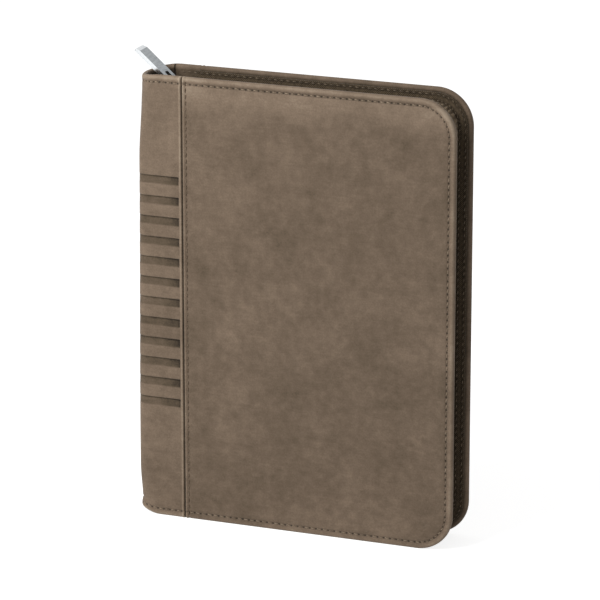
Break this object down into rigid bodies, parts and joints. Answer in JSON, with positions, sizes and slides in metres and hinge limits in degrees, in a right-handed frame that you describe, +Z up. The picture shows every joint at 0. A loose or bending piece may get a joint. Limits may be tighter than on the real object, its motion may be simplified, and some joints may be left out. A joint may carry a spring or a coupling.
{
  "type": "zippered daily planner",
  "caption": "Zip-around leatherette planner case that stands or lies flat, with hinged covers, a rounded barred spine, a sliding zip with a swinging pull, and a bound planner inside.",
  "frame": {"origin": "on the floor, in the middle of the footprint of the closed, standing case", "axes": "+Z up along the height, +X from the spine to the fore-edge, +Y from the front cover to the back cover"},
  "size_m": [0.1832, 0.03, 0.2556],
  "materials": {
    "leather": "mottled nubuck-like leatherette, matt",
    "board": "plain grey board",
    "lining": "woven lining",
    "zip_tape": "woven tape",
    "zip_metal": "nickel-plated",
    "zip_teeth": "moulded, half gloss",
    "pull_metal": "polished, faintly brushed face",
    "card": "smooth card",
    "paper": "uncoated paper",
    "thread": "woven band"
  },
  "bodies": {
    "back_cover": {"back_panel": "leather", "back_flap": "leather", "back_board": "board", "back_lining": "lining", "back_sleeve": "lining", "back_zip_tape": "zip_tape", "back_zip_teeth": "zip_teeth", "back_top_stop": "zip_metal", "zip_bottom_stop": "zip_metal", "page_block": "paper", "planner_spine": "card", "headbands": "thread", "planner_back_cover": "card"},
    "spine": {"spine_panel": "leather", "spine_stiffener": "board", "spine_lining": "lining"},
    "front_cover": {"front_panel": "leather", "front_flap": "leather", "front_board": "board", "front_lining": "lining", "front_zip_tape": "zip_tape", "front_zip_teeth": "zip_teeth", "front_top_stop": "zip_metal", "document_pocket": "leather", "card_slot_rear": "leather", "card_slot_middle": "leather", "card_slot_near": "leather"},
    "slider": {"slider_body": "zip_metal", "slider_bail": "zip_metal"},
    "pull": {"pull_tab": "pull_metal"},
    "planner_front": {"planner_front_cover": "card", "planner_leaves": "paper"}
  },
  "joints": [
    {"name": "spine_hinge", "type": "hinge", "parent": "back_cover", "child": "spine", "pos_m": [-0.076, 0.015, 0.1225], "axis": [0, 0, -1], "range_deg": [0, 90]},
    {"name": "front_hinge", "type": "hinge", "parent": "spine", "child": "front_cover", "pos_m": [-0.076, -0.015, 0.1225], "axis": [0, 0, -1], "range_deg": [0, 175]},
    {"name": "slider_travel", "type": "slide", "parent": "back_cover", "child": "slider", "axis": [1, 0, 0], "range_m": [0, 0.132]},
    {"name": "pull_swing", "type": "hinge", "parent": "slider", "child": "pull", "pos_m": [-0.0725, 0, 0.239], "axis": [0, 1, 0], "range_deg": [-16, 134]},
    {"name": "planner_turn", "type": "hinge", "parent": "back_cover", "child": "planner_front", "pos_m": [-0.0719, -0.0075, 0.1225], "axis": [0, 0, -1], "range_deg": [0, 100]}
  ],
  "couplings": [
    {"joint": "planner_turn", "follows": "front_hinge", "ratio": 0.57}
  ]
}
